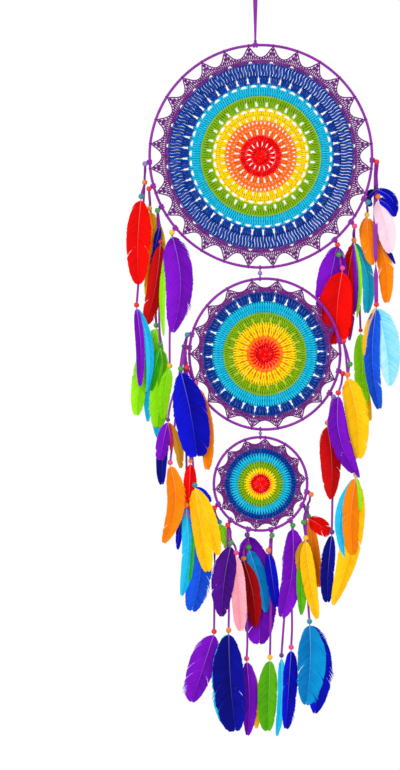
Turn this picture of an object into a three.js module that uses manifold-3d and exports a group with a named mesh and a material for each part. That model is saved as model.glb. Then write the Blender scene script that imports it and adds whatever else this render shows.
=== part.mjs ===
// Dreamcatcher: three crocheted mandalas in ribbon-bound hoops, hung one below the other, with
// beaded ribbons and feathers at their sides and foot. Millimetres, +Z up, front towards -Y.
// The origin is the inside of the hanging loop's top, where a hook bears.
import * as THREE from 'three';
import { mergeVertices } from 'three/addons/utils/BufferGeometryUtils.js';
import Module from 'manifold-3d';

const wasm = await Module();
wasm.setup();

// Clearances between pieces
const fitGap = 0.25;
const tieGap = 0.4;
const swayGap = 0.6;

// Hoops: steel wire, bound in ribbon
const wireDiameter = 2.4;
const bindingThickness = 0.55;
const bigHoopDiameter = 298;
const middleHoopDiameter = 202;
const smallHoopDiameter = 125;
const bindingInner = wireDiameter / 2 + fitGap;
const bindingOuter = bindingInner + bindingThickness;
const tieInner = bindingOuter + tieGap;
const bandFacets = 6;
const bandCorner = tieInner / Math.cos(Math.PI / bandFacets);

// Where the hoops hang: each drop runs between the wires at a knot, each shift sets the knot
// to the left of its hoop's middle
const loopDrop = 74;
const loopShift = 7.4;
const upperLinkDrop = 15.2;
const upperLinkShift = 1;
const middleHoopShift = 6.3;
const lowerLinkDrop = 10.6;
const lowerLinkShift = 5.9;
const smallHoopShift = 0.2;

// Hanging loop: one flat ribbon, knotted above the hoop
const loopRibbonWidth = 6.6;
const loopFootWidth = 3;
const loopThickness = 0.8;
const hookWidth = 3.6;
const loopKnotWidth = 4.4;
const loopKnotHeight = 4;
const loopKnotGap = 0.3;
const loopKnotTaper = 1.2;
const loopSplit = 0.3;

// Crocheted mandalas: a lace depth runs from the wire of the hoop in to the worked rounds, a lace
// shoulder or arch stands that far in from the wire
const crochetThickness = 1.8;
const laceTipWidth = 2.6;
const bigLaceDepth = 25;
const bigLaceShoulder = 12;
const bigLaceArch = 16;
const middleLaceDepth = 18;
const middleLaceShoulder = 10;
const middleLaceArch = 12.5;
const smallLaceDepth = 14.5;
const smallLaceShoulder = 8;
const smallLaceArch = 9.5;

// Strands: ribbon, beads and feathers
const beadDiameter = 7.5;
const linkBeadDiameter = 6.5;
const lowerLinkBeadDiameter = 5;
const linkCordDiameter = 1.4;
const ribbonWidth = 3;
const ribbonThickness = 0.7;
const tieReach = bandCorner + ribbonThickness;
const neckDrop = 2;
const settleDrop = 16;
const quillDiameter = 1.5;
const featherThickness = 1.1;
const featherStep = 1.7;

// Depths inside one strand: feathers in front of each other, ribbons behind them
const front = -featherStep / 2;
const rear = featherStep / 2;
const ribbonLift = rear + featherThickness / 2 + ribbonThickness / 2 + tieGap;
const beadBack = beadDiameter * 3 / 8;
const behind = beadBack + quillDiameter / 2 + fitGap;
const liftLength = 8;

// Layers in depth, each thick enough for a strand to sway past its neighbours
const layerPitch = beadDiameter / 2 + ribbonLift + ribbonThickness / 2 + tieGap;
const firstLayer = bindingOuter + beadDiameter / 2 + swayGap;
const back = (layer) => firstLayer + (layer - 1) * layerPitch;
const ahead = (layer) => -back(layer);
const under = (layer) => layer * layerPitch;

const red = 0xe01010;
const darkRed = 0xa80c10;
const orange = 0xff8a00;
const yellow = 0xffc800;
const lime = 0x8ee000;
const green = 0x2a9a10;
const teal = 0x109cb4;
const cyan = 0x12b8e0;
const paleCyan = 0x9ceaf8;
const blue = 0x1018d0;
const navy = 0x10128c;
const purple = 0x7a10c0;
const violet = 0x4a0f80;
const pink = 0xf49ab4;
const steel = 0x9a9ca0;
const ribbonPurple = 0x8a1a9c;
const lacePurple = 0x7a2f86;
const yarnRed = 0xe8080c;
const yarnOrange = 0xff7414;
const yarnYellow = 0xffd80a;
const yarnGreen = 0x7fae12;
const yarnCyan = 0x22bce4;
const yarnBlue = 0x123a94;

// Solids from points and meshes
function solidOf(geometry) {
  const bare = geometry.clone();
  for (const name of Object.keys(bare.attributes)) {
    if (name !== 'position') bare.deleteAttribute(name);
  }
  const merged = mergeVertices(bare, 1e-4);
  const mesh = new wasm.Mesh({
    numProp: 3,
    vertProperties: Float32Array.from(merged.attributes.position.array),
    triVerts: Uint32Array.from(merged.index.array),
  });
  return new wasm.Manifold(mesh);
}

function joined(solids) {
  return solids.reduce((whole, solid) => whole.add(solid));
}

function geometryOf(solid) {
  const mesh = solid.getMesh();
  const geometry = new THREE.BufferGeometry();
  geometry.setAttribute('position', new THREE.BufferAttribute(Float32Array.from(mesh.vertProperties), 3));
  geometry.setIndex(new THREE.BufferAttribute(Uint32Array.from(mesh.triVerts), 1));
  geometry.computeVertexNormals();
  return geometry;
}

// A closed skin over four-cornered rings, listed from one end to the other
function loft(rings) {
  const corners = 4;
  const index = [0, 1, 2, 0, 2, 3];
  for (let ring = 0; ring + 1 < rings.length; ring++) {
    for (let corner = 0; corner < corners; corner++) {
      const a = ring * corners + corner;
      const b = ring * corners + (corner + 1) % corners;
      index.push(a, b + corners, b, a, a + corners, b + corners);
    }
  }
  const last = (rings.length - 1) * corners;
  index.push(last, last + 2, last + 1, last, last + 3, last + 2);
  const geometry = new THREE.BufferGeometry().setFromPoints(rings.flat());
  geometry.setIndex(index);
  return solidOf(geometry);
}

const root = new THREE.Group();
root.name = 'dreamcatcher';

function addPiece(name, geometry, colour, roughness, metalness = 0) {
  const material = new THREE.MeshStandardMaterial({ color: colour, roughness, metalness });
  material.vertexColors = geometry.hasAttribute('color');
  const mesh = new THREE.Mesh(geometry, material);
  mesh.name = name;
  root.add(mesh);
}

// Hoop places: a clock angle runs from the top, towards the right as seen from the front
function onHoop(hoop, clock) {
  const angle = THREE.MathUtils.degToRad(clock);
  const x = hoop.x + hoop.radius * Math.sin(angle);
  const z = hoop.z + hoop.radius * Math.cos(angle);
  return new THREE.Vector3(x, 0, z);
}

function rise(radius, shift) {
  return Math.sqrt(radius * radius - shift * shift);
}

const big = { name: 'big', radius: bigHoopDiameter / 2, facets: 36 };
big.x = loopShift;
big.z = -loopDrop - rise(big.radius, loopShift);

const upperLink = { x: big.x - upperLinkShift, top: big.z - rise(big.radius, upperLinkShift) };
upperLink.foot = upperLink.top - upperLinkDrop;

const middle = { name: 'middle', radius: middleHoopDiameter / 2, facets: 30 };
middle.x = upperLink.x + middleHoopShift;
middle.z = upperLink.foot - rise(middle.radius, middleHoopShift);

const lowerLink = { x: middle.x - lowerLinkShift, top: middle.z - rise(middle.radius, lowerLinkShift) };
lowerLink.foot = lowerLink.top - lowerLinkDrop;

const small = { name: 'small', radius: smallHoopDiameter / 2, facets: 24 };
small.x = lowerLink.x + smallHoopShift;
small.z = lowerLink.foot - rise(small.radius, smallHoopShift);

// Hoop wires and their ribbon bindings, a binding open along a seam on its inner side
function ringCorner(hoop) {
  return hoop.radius * (1 + 1 / Math.cos(Math.PI / hoop.facets)) / 2;
}

function ringOf(hoop, section) {
  const outline = section.map(([out, side]) => new THREE.Vector2(ringCorner(hoop) + out, side));
  outline.push(outline[0].clone());
  const geometry = new THREE.LatheGeometry(outline, hoop.facets);
  return solidOf(geometry.translate(hoop.x, 0, hoop.z));
}

function arc(radius, from, to, steps) {
  const points = [];
  for (let step = 0; step <= steps; step++) {
    const angle = THREE.MathUtils.degToRad(from + (to - from) * step / steps);
    points.push([radius * Math.cos(angle), radius * Math.sin(angle)]);
  }
  return points;
}

const wireSides = 5;
const seamHalfAngle = 36;
const wireSection = arc(wireDiameter / 2, 0, 360 - 360 / wireSides, wireSides - 1);
const bindingSection = [
  ...arc(bindingOuter, seamHalfAngle - 180, 180 - seamHalfAngle, wireSides - 1),
  ...arc(bindingInner, 180 - seamHalfAngle, seamHalfAngle - 180, wireSides - 1),
];

for (const hoop of [big, middle, small]) {
  addPiece(`${hoop.name}_hoop_wire`, geometryOf(ringOf(hoop, wireSection)), steel, 0.35, 1);
  addPiece(`${hoop.name}_hoop_binding`, geometryOf(ringOf(hoop, bindingSection)), ribbonPurple, 0.45);
}

// Hanging loop: side outline with one eye for the hook and one for the hoop, narrower at its foot
function hangingLoop() {
  const foot = bandCorner + loopThickness;
  const footCorner = foot * Math.SQRT1_2;
  const knotFoot = -loopDrop + foot + loopKnotGap;
  const knotTop = knotFoot + loopKnotHeight;
  const splitFoot = knotTop + loopKnotTaper;
  const bend = -loopThickness * 2;
  const half = [
    [hookWidth / 2 + loopThickness / 2, loopThickness],
    [hookWidth / 2 + loopThickness * 2, bend],
    [loopSplit + loopThickness, splitFoot],
    [loopKnotWidth / 2, knotTop],
    [loopKnotWidth / 2, knotFoot],
    [footCorner, -loopDrop + footCorner],
    [foot, -loopDrop],
    [footCorner, -loopDrop - footCorner],
  ];
  const mirrored = half.map(([y, z]) => [-y, z]).reverse();
  const outline = [...half, [0, -loopDrop - foot], ...mirrored].reverse();
  const shape = new THREE.Shape(outline.map(([y, z]) => new THREE.Vector2(y, z)));
  const hookEye = [
    [hookWidth / 2, 0],
    [hookWidth / 2 + loopThickness, bend],
    [loopSplit, splitFoot],
    [-loopSplit, splitFoot],
    [-hookWidth / 2 - loopThickness, bend],
    [-hookWidth / 2, 0],
  ];
  const hoopHole = arc(bandCorner, 0, 360 - 360 / bandFacets, bandFacets - 1)
    .map(([y, z]) => [y, z - loopDrop]);
  for (const hole of [hookEye, hoopHole]) {
    shape.holes.push(new THREE.Path(hole.map(([y, z]) => new THREE.Vector2(y, z))));
  }
  const geometry = new THREE.ExtrudeGeometry(shape, { depth: loopRibbonWidth, bevelEnabled: false });
  geometry.translate(0, 0, -loopRibbonWidth / 2);
  const place = geometry.attributes.position;
  for (let i = 0; i < place.count; i++) {
    const drop = THREE.MathUtils.clamp(-place.getY(i) / -knotTop, 0, 1);
    const taper = THREE.MathUtils.lerp(1, loopFootWidth / loopRibbonWidth, drop);
    place.setXYZ(i, place.getZ(i) * taper, place.getX(i), place.getY(i));
  }
  return geometryOf(solidOf(geometry));
}

addPiece('hanging_loop', hangingLoop(), ribbonPurple, 0.45);

// A band of ribbon or cord round the wire of a hoop
function band(place, clock, thickness, width) {
  const outline = [
    [bandCorner, -width / 2],
    [bandCorner + thickness, -width / 2],
    [bandCorner + thickness, width / 2],
    [bandCorner, width / 2],
    [bandCorner, -width / 2],
  ];
  const corners = outline.map(([out, side]) => new THREE.Vector2(out, side));
  const geometry = new THREE.LatheGeometry(corners, bandFacets);
  geometry.rotateZ(Math.PI / 2);
  geometry.rotateY(THREE.MathUtils.degToRad(clock));
  geometry.translate(place.x, place.y, place.z);
  return solidOf(geometry);
}

const beadFacets = 6;
const beadRows = 3;

function bead(place, diameter) {
  const geometry = new THREE.SphereGeometry(diameter / 2, beadFacets, beadRows);
  geometry.rotateX(Math.PI / 2);
  geometry.translate(place.x, place.y, place.z);
  return solidOf(geometry);
}

// Links: a bead on a cord that is tied round the hoop above it and the hoop below it
function link(above, below, place, diameter) {
  const top = new THREE.Vector3(place.x, 0, place.top);
  const foot = new THREE.Vector3(place.x, 0, place.foot);
  const topClock = 180 + THREE.MathUtils.radToDeg(Math.asin((above.x - place.x) / above.radius));
  const footClock = THREE.MathUtils.radToDeg(Math.asin((place.x - below.x) / below.radius));
  const reach = bandCorner + linkCordDiameter / 2;
  const cord = new THREE.CylinderGeometry(
    linkCordDiameter / 2, linkCordDiameter / 2, place.top - place.foot - 2 * reach, beadFacets);
  cord.rotateX(Math.PI / 2);
  cord.translate(place.x, 0, (place.top + place.foot) / 2);
  return geometryOf(joined([
    band(top, topClock, linkCordDiameter, linkCordDiameter),
    band(foot, footClock, linkCordDiameter, linkCordDiameter),
    solidOf(cord),
    bead(new THREE.Vector3(place.x, 0, (place.top + place.foot) / 2), diameter),
  ]));
}

addPiece('upper_link', link(big, middle, upperLink, linkBeadDiameter), purple, 0.35);
addPiece('lower_link', link(middle, small, lowerLink, lowerLinkBeadDiameter), purple, 0.35);

// Mandalas: flat crochet worked in coloured rounds, with openings between its stitches and a lace
// edge whose tips are tied to the hoop. A round is a colour and its outer radius. A ring of
// openings is their number, inner and outer radius, and width at each. All are in hundredths of the
// radius of the worked rounds.
const shoulderShare = 0.24;

function polar(radius, angle) {
  return new THREE.Vector2(radius * Math.sin(angle), radius * Math.cos(angle));
}

function mandala(hoop, lace, rounds, openings) {
  const worked = (hundredths) => (hoop.radius - lace.depth) * hundredths / 100;
  const shoulder = hoop.radius - lace.shoulder;
  const arch = hoop.radius - lace.arch;
  const seam = bindingOuter * Math.cos(THREE.MathUtils.degToRad(seamHalfAngle));
  const reach = ringCorner(hoop) * Math.cos(Math.PI / hoop.facets) - seam - fitGap;
  const turn = 2 * Math.PI / lace.tips;
  const first = THREE.MathUtils.degToRad(lace.firstTip);
  const tipHalf = laceTipWidth / 2 / reach;
  const outline = [];
  for (let tip = 0; tip < lace.tips; tip++) {
    const angle = first + tip * turn;
    outline.push(polar(reach, angle - tipHalf), polar(reach, angle + tipHalf));
    outline.push(polar(shoulder, angle + turn * shoulderShare));
    outline.push(polar(arch, angle + turn / 2));
    outline.push(polar(shoulder, angle + turn * (1 - shoulderShare)));
  }
  const shape = new THREE.Shape(outline.reverse());
  for (const [count, ...sizes] of openings) {
    const [inner, outer, innerWidth, outerWidth] = sizes.map(worked);
    for (let step = 0; step < count; step++) {
      const angle = first + step * 2 * Math.PI / count;
      const top = outerWidth ? [-outerWidth / 2, outerWidth / 2] : [0];
      shape.holes.push(new THREE.Path([
        polar(inner, angle - innerWidth / 2 / inner),
        ...top.map((side) => polar(outer, angle + side / outer)),
        polar(inner, angle + innerWidth / 2 / inner),
      ]));
    }
  }
  const flat = new THREE.ExtrudeGeometry(shape, { depth: crochetThickness, bevelEnabled: false });
  flat.rotateX(Math.PI / 2);
  flat.translate(0, crochetThickness / 2, 0);
  const geometry = geometryOf(solidOf(flat));
  const place = geometry.attributes.position;
  const paint = [];
  for (let i = 0; i < place.count; i++) {
    const radius = Math.hypot(place.getX(i), place.getZ(i));
    const round = rounds.find(([, outer]) => radius < worked(outer)) ?? [lacePurple];
    paint.push(...new THREE.Color(round[0]).toArray());
  }
  geometry.setAttribute('color', new THREE.Float32BufferAttribute(paint, 3));
  return geometry.translate(hoop.x, 0, hoop.z);
}

const bigLace = {
  tips: 28, firstTip: 6.43, depth: bigLaceDepth, shoulder: bigLaceShoulder, arch: bigLaceArch,
};
addPiece('big_mandala', mandala(big, bigLace, [
  [yarnRed, 22.6], [yarnOrange, 38.7], [yarnYellow, 51.6],
  [yarnGreen, 64.5], [yarnCyan, 78.2], [yarnBlue, 100],
], [
  [16, 10.3, 15.5, 1.1, 2.3],
  [24, 24.2, 29.8, 1.8, 2.3],
  [36, 52.4, 59.7, 5.5, 0],
  [44, 77.4, 87.1, 6.9, 0],
]), 0xffffff, 0.9);

const middleLace = {
  tips: 18, firstTip: 10, depth: middleLaceDepth, shoulder: middleLaceShoulder, arch: middleLaceArch,
};
addPiece('middle_mandala', mandala(middle, middleLace, [
  [yarnRed, 21.1], [yarnOrange, 28.9], [yarnYellow, 53],
  [yarnGreen, 66.3], [yarnCyan, 85.5], [yarnBlue, 100],
], [
  [24, 51.8, 60.2, 6, 0],
  [28, 85.5, 95.2, 9.6, 0],
]), 0xffffff, 0.9);

const smallLace = {
  tips: 14, firstTip: 6, depth: smallLaceDepth, shoulder: smallLaceShoulder, arch: smallLaceArch,
};
addPiece('small_mandala', mandala(small, smallLace, [
  [yarnRed, 26], [yarnYellow, 43.8], [yarnGreen, 63.5], [yarnCyan, 83.3], [yarnBlue, 100],
], []), 0xffffff, 0.9);

// Places on a strand: sideways from its knot, down from its knot, and how far it stands in front
// of (minus) or behind its own layer. A strand eases into its layer below the knot.
function hang(strand, side, drop, lift) {
  const depth = strand.depth * THREE.MathUtils.smoothstep(drop, tieReach, tieReach + settleDrop);
  return new THREE.Vector3(strand.knot.x + side, depth + lift, strand.knot.z - drop);
}

// Drops at which a piece that starts higher up still has to follow its strand into its layer
function settling(from) {
  return [0.5, 1].map((share) => tieReach + share * settleDrop).filter((drop) => drop > from + 1);
}

// Feather: quill, then a vane whose width is a share of the whole, from its top to its tip. Its bow is
// how far its middle swings to the right, as a share of its length.
const vane = [[0, 0], [0.12, 0.45], [0.36, 0.94], [0.65, 1], [0.9, 0.6], [1, 0.06]];

function vaneSpread(share) {
  const next = Math.max(1, vane.findIndex(([place]) => place >= share));
  const [from, narrow] = vane[next - 1];
  const [to, wide] = vane[next];
  return THREE.MathUtils.mapLinear(share, from, to, narrow, wide);
}

function plume(strand, start, { side, drop, width, bow, lift }) {
  const long = Math.hypot(side - start.side, drop - start.drop);
  const along = new THREE.Vector2(side - start.side, drop - start.drop).divideScalar(long);
  const extra = settling(start.drop).map((at) => (at - start.drop) / (drop - start.drop));
  const regular = vane.map(([share]) => share);
  const shares = [...regular.filter((share) => share === 0 || share > Math.max(0, ...extra)), ...extra];
  return loft(shares.sort((a, b) => a - b).map((share) => {
    const spread = vaneSpread(share);
    const swerve = bow * long * Math.sin(Math.PI * share);
    const x = start.side + along.x * long * share + along.y * swerve;
    const down = start.drop + along.y * long * share - along.x * swerve;
    const forward = lift === behind ? lift : lift * THREE.MathUtils.smoothstep(long * share, 0, liftLength);
    const centre = hang(strand, x, down, forward);
    const half = Math.max(quillDiameter, width * spread) / 2;
    const thick = THREE.MathUtils.lerp(quillDiameter, featherThickness, Math.min(1, share * 5)) / 2;
    const across = new THREE.Vector3(along.y, 0, along.x).multiplyScalar(half);
    const through = new THREE.Vector3(0, share === 1 ? thick / 2 : thick, 0);
    return [
      centre.clone().sub(across),
      centre.clone().sub(through),
      centre.clone().add(across),
      centre.clone().add(through),
    ];
  }));
}

// Ribbon from one bead to the next: flat, facing the front, and behind the strand's feathers where
// the beads stand far apart
function ribbon(strand, here, next) {
  const outOfBead = here.drop + beadDiameter / 6;
  const intoBead = next.drop - beadDiameter / 6;
  const far = intoBead - outOfBead > beadDiameter;
  const turns = settling(outOfBead).filter((drop) => drop < intoBead);
  const drops = far ? [outOfBead, ...turns, intoBead] : [here.drop, next.drop];
  const places = drops.map((drop) => ({ drop, lift: far ? ribbonLift : 0 }));
  if (far && turns.length) places.unshift({ drop: here.drop, lift: 0 });
  for (const place of places) {
    const share = (place.drop - here.drop) / (next.drop - here.drop);
    place.side = THREE.MathUtils.lerp(here.side, next.side, share);
  }
  return loft(places.map((place, i) => {
    const before = places[Math.max(0, i - 1)];
    const after = places[Math.min(places.length - 1, i + 1)];
    const run = new THREE.Vector2(after.side - before.side, after.drop - before.drop).normalize();
    const centre = hang(strand, place.side, place.drop, place.lift);
    const across = new THREE.Vector3(run.y, 0, run.x).multiplyScalar(ribbonWidth / 2);
    const through = new THREE.Vector3(0, ribbonThickness / 2, 0);
    return [
      centre.clone().sub(across).sub(through),
      centre.clone().add(across).sub(through),
      centre.clone().add(across).add(through),
      centre.clone().sub(across).add(through),
    ];
  }));
}

// Strand: a ribbon tied round a hoop, both its ends through a neck bead. An end holds beads and a
// bunch of feathers. A bunch named tail closes its ribbon and is one piece with it.
const feather = (side, drop, width, bow, lift, colour) => ({ side, drop, width, bow, lift, colour });
const end = (name, beads, feathers) => ({ name, beads, feathers });

function strand(name, hoop, clock, depth, ends) {
  const knot = onHoop(hoop, clock);
  const angle = THREE.MathUtils.degToRad(clock);
  const reach = bindingOuter + beadDiameter / 2 + swayGap;
  const neck = { side: reach * Math.sin(angle), drop: neckDrop - reach * Math.cos(angle) };
  const body = { knot, depth };
  const tieMiddle = bandCorner + ribbonThickness / 4;
  const tie = { side: tieMiddle * Math.sin(angle), drop: -tieMiddle * Math.cos(angle) };
  const solids = [band(knot, clock, ribbonThickness, ribbonWidth)];
  solids.push(ribbon(body, tie, neck));
  solids.push(bead(hang(body, neck.side, neck.drop, 0), beadDiameter));
  for (const { name: bunch, beads, feathers } of ends) {
    const stops = [neck, ...beads.map(([side, drop]) => ({ side, drop }))];
    const last = stops[stops.length - 1];
    for (let stop = 1; stop < stops.length; stop++) {
      const { side, drop } = stops[stop];
      solids.push(ribbon(body, stops[stop - 1], stops[stop]));
      solids.push(bead(hang(body, side, drop, 0), beadDiameter));
    }
    if (bunch === 'tail') {
      solids.push(...feathers.map((one) => plume(body, last, one)));
    } else {
      const below = { side: last.side, drop: last.drop + beadDiameter / 2 + fitGap };
      const plumes = joined(feathers.map((one) => plume(body, one.lift === behind ? last : below, one)));
      addPiece(`${name}_${bunch}_feathers`, geometryOf(plumes), feathers[0].colour, 0.7);
    }
  }
  addPiece(`${name}_strand`, geometryOf(joined(solids)), ribbonPurple, 0.45);
}

// Strands of the big hoop, behind the hoops
strand('big_left_1', big, 267, back(2), [
  end('red', [[-7, 26], [-12, 45]], [feather(-16, 163, 33, -0.02, front, red)]),
  end('tail', [[-18, 191]], [
    feather(-13, 301, 12, 0.03, front, purple), feather(-4, 309, 12, 0.085, rear, cyan),
  ]),
]);
strand('big_left_2', big, 254.5, back(4), [
  end('yellow', [[-6, 28]], [feather(-9, 150, 27, 0.03, front, yellow)]),
  end('tail', [[3, 186]], [
    feather(-24, 308, 23, -0.045, front, lime), feather(-6, 276, 13, 0.015, rear, green),
  ]),
]);
strand('big_left_3', big, 243, back(3), [
  end('red', [[-2, 46]], [
    feather(-21, 157, 23, 0.03, front, darkRed), feather(-12, 87, 15, -0.045, rear, navy),
  ]),
  end('tail', [[-2, 185]], [
    feather(-6, 296, 27, 0.01, front, lime), feather(-5, 311, 17, -0.045, rear, cyan),
  ]),
]);
strand('big_left_4', big, 230, back(1), [
  end('purple', [], [
    feather(-4, 141, 38, 0.085, front, purple), feather(-16, 146, 9, -0.045, rear, lime),
  ]),
  end('tail', [[-8, 185]], [feather(-17, 257, 17, -0.03, front, lime)]),
]);
strand('big_right_1', big, 92, back(2), [
  end('blue', [[9, 48]], [
    feather(32, 70, 16, 0.22, front, blue), feather(25, 124, 27, 0.02, rear, pink),
  ]),
  end('tail', [[7, 193]], [
    feather(25, 303, 33, 0.03, rear, paleCyan), feather(11, 334, 21, -0.055, front, blue),
    feather(-9, 262, 9, -0.06, front, yellow),
  ]),
]);
strand('big_right_2', big, 112.5, back(3), [
  end('orange', [[6, 20]], [
    feather(14, 88, 19, -0.03, front, orange), feather(33, 139, 21, 0.09, rear, orange),
  ]),
]);
strand('big_right_3', big, 126, back(4), [
  end('teal', [[6, 23]], [
    feather(10, 129, 7, 0.06, front, lime), feather(23, 122, 17, 0.1, rear, teal),
    feather(-2, 153, 20, -0.045, rear, darkRed),
  ]),
  end('tail', [[15, 145]], [
    feather(16, 255, 20, 0.03, front, green), feather(28, 268, 13, -0.02, rear, yellow),
  ]),
]);
strand('big_right_4', big, 138.5, back(1), [
  end('purple', [], [feather(-17, 101, 38, 0.01, behind, purple)]),
  end('red', [[11, 38]], [feather(4, 140, 44, -0.035, front, red)]),
]);

// Strands of the middle hoop, in front of the hoops
strand('middle_left_1', middle, 285, ahead(2), [
  end('blue', [[-15, 46]], [feather(7, 163, 44, 0.02, front, blue)]),
  end('purple', [[-32, 114]], [
    feather(-42, 168, 17, -0.02, front, purple), feather(-40, 201, 15, -0.03, rear, navy),
  ]),
  end('tail', [[-29, 171]], [feather(-38, 279, 24, 0.11, front, orange)]),
]);
strand('middle_left_2', middle, 275, ahead(1), [
  end('orange', [[-3, 27], [8, 48]], [feather(23, 164, 18, 0.05, front, orange)]),
  end('yellow', [[7, 184]], [
    feather(24, 300, 24, 0, front, yellow), feather(39, 278, 23, 0.03, front, yellow),
  ]),
  end('tail', [[-5, 211]], [
    feather(-11, 333, 19, 0.05, rear, cyan), feather(3, 353, 33, 0.11, rear, blue),
  ]),
]);
strand('middle_right_1', middle, 79.5, ahead(2), [
  end('yellow', [[14, 32], [11, 46]], [feather(24, 158, 33, 0.025, front, yellow)]),
  end('tail', [[22, 180]], [
    feather(18, 286, 22, -0.045, front, orange), feather(8, 292, 15, -0.13, rear, cyan),
    feather(-9, 355, 29, 0.06, rear, yellow),
  ]),
]);
strand('middle_right_2', middle, 103, ahead(3), [
  end('purple', [[-1, 29]], [feather(21, 135, 23, -0.14, front, purple)]),
]);
strand('middle_right_3', middle, 121, ahead(1), [
  end('red', [[-3, 40]], [feather(2, 143, 28, 0.035, front, red)]),
  end('tail', [[3, 186]], [feather(-3, 280, 18, -0.02, front, navy)]),
]);

// Strands of the small hoop, below it
strand('small_1', small, 244, under(1), [
  end('lime', [[1, 24]], [feather(13, 64, 15, 0.045, front, lime)]),
  end('tail', [[-6, 171]], [feather(-36, 266, 36, 0, front, purple)]),
]);
strand('small_2', small, 219.5, under(0), [
  end('violet', [[0, 31]], [feather(-12, 130, 31, -0.03, front, violet)]),
  end('pink', [[7, 44]], [feather(14, 149, 20, 0.01, rear, pink)]),
  end('tail', [[-3, 148]], [
    feather(6, 283, 42, -0.015, front, blue), feather(-7, 274, 29, -0.045, rear, cyan),
  ]),
]);
strand('small_3', small, 195, under(3), [
  end('purple', [], [feather(15, 157, 51, 0.045, behind, purple)]),
  end('cyan', [[1, 26]], [feather(24, 114, 20, 0.03, rear, cyan)]),
  end('red', [[-6, 41]], [feather(10, 134, 23, 0.048, front, darkRed)]),
  end('tail', [[-2, 176]], [
    feather(-1, 280, 20, 0.03, front, purple), feather(11, 271, 12, 0.06, rear, yellow),
  ]),
]);
strand('small_4', small, 167, under(2), [
  end('blue', [[-3, 29]], [feather(8, 106, 16, 0, front, blue)]),
  end('tail', [[-1, 173]], [feather(-4, 272, 26, 0, front, green)]),
]);
strand('small_5', small, 141, under(1), [
  end('purple', [], [feather(-11, 131, 30, 0.055, front, purple)]),
  end('tail', [[2, 171]], [feather(-5, 281, 20, 0, front, blue)]),
  end('tail', [[-11, 182]], [feather(-17, 291, 11, 0.03, front, cyan)]),
]);
strand('small_6', small, 100, under(2), [
  end('orange', [[3, 33]], [
    feather(33, 56, 22, 0.03, front, red), feather(17, 129, 18, 0, rear, orange),
  ]),
]);
strand('small_7', small, 117, under(0), [
  end('yellow', [[2, 23], [5, 44]], [
    feather(21, 153, 25, -0.02, front, yellow), feather(-1, 148, 17, -0.02, rear, green),
  ]),
  end('tail', [[10, 156]], [
    feather(5, 268, 38, 0.03, front, cyan), feather(17, 280, 36, 0.06, rear, blue),
  ]),
]);

export default root;
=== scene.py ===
import math
import random

import bpy
import numpy as np
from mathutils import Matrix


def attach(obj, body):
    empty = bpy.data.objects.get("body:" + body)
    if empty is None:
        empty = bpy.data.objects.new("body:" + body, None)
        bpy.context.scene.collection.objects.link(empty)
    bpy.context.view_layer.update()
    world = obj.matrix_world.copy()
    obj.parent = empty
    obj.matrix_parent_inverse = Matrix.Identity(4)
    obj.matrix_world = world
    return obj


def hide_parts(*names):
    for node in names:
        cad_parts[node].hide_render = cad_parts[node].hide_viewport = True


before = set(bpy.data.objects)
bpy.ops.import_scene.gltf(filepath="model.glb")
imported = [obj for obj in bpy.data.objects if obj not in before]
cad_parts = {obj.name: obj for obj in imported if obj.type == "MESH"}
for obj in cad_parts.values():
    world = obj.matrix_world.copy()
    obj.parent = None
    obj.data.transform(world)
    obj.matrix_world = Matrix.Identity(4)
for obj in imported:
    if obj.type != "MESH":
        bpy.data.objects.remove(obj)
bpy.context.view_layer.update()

# Studio: a wall hanging seen straight on against white, under soft even light. The photographed
# field is 400 by 770 steps of 1.34 mm, and the hanging loop's hook sits 10 steps above it.
mm = 0.001
step = 1.34 * mm
field_width, field_height = 400 * step, 770 * step
hook_from_left, hook_above = 255.3 * step, 10 * step
camera_distance = 3.2

scene = bpy.context.scene
scene.view_settings.view_transform = "Standard"
lens = bpy.data.cameras.new("straight_on")
lens.sensor_width = 36
lens.lens = lens.sensor_width * camera_distance / field_height
camera = bpy.data.objects.new("straight_on", lens)
camera.location = (field_width / 2 - hook_from_left, -camera_distance, -field_height / 2 - hook_above)
camera.rotation_euler = (math.pi / 2, 0, 0)
scene.collection.objects.link(camera)
scene.camera = camera


def linear(hex_colour):
    parts = [int(hex_colour[i : i + 2], 16) / 255 for i in (1, 3, 5)]
    return tuple(c / 12.92 if c <= 0.04045 else ((c + 0.055) / 1.055) ** 2.4 for c in parts) + (1.0,)


def full_turn(count):
    return np.linspace(0, 2 * math.pi, count, endpoint=False)


def add_node(tree, kind, inputs=None, **settings):
    """A shader node with its settings and inputs. Gives its outputs."""
    made = tree.nodes.new("ShaderNode" + kind)
    for name, value in settings.items():
        setattr(made, name, value)
    for name, value in (inputs or {}).items():
        if isinstance(value, bpy.types.NodeSocket):
            tree.links.new(value, made.inputs[name])
        else:
            made.inputs[name].default_value = value
    return made.outputs


def lamp(name, place, aim, size, watts):
    light = bpy.data.lights.new(name, "AREA")
    light.size = size
    light.energy = watts
    holder = bpy.data.objects.new(name, light)
    holder.location = place
    ray = np.array(aim) - np.array(place)
    flat = math.hypot(ray[0], ray[1])
    holder.rotation_euler = (math.atan2(flat, -ray[2]), 0, math.atan2(-ray[0], ray[1]))
    scene.collection.objects.link(holder)


lamp("window_left", place=(-1.5, -2.4, 0.7), aim=(0, 0, -0.5), size=1.6, watts=40)
lamp("window_right", place=(1.8, -2.2, -0.3), aim=(0, 0, -0.6), size=1.6, watts=16)
lamp("room_behind", place=(0.6, 2.4, 0.5), aim=(0, 0, -0.5), size=1.8, watts=26)

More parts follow.
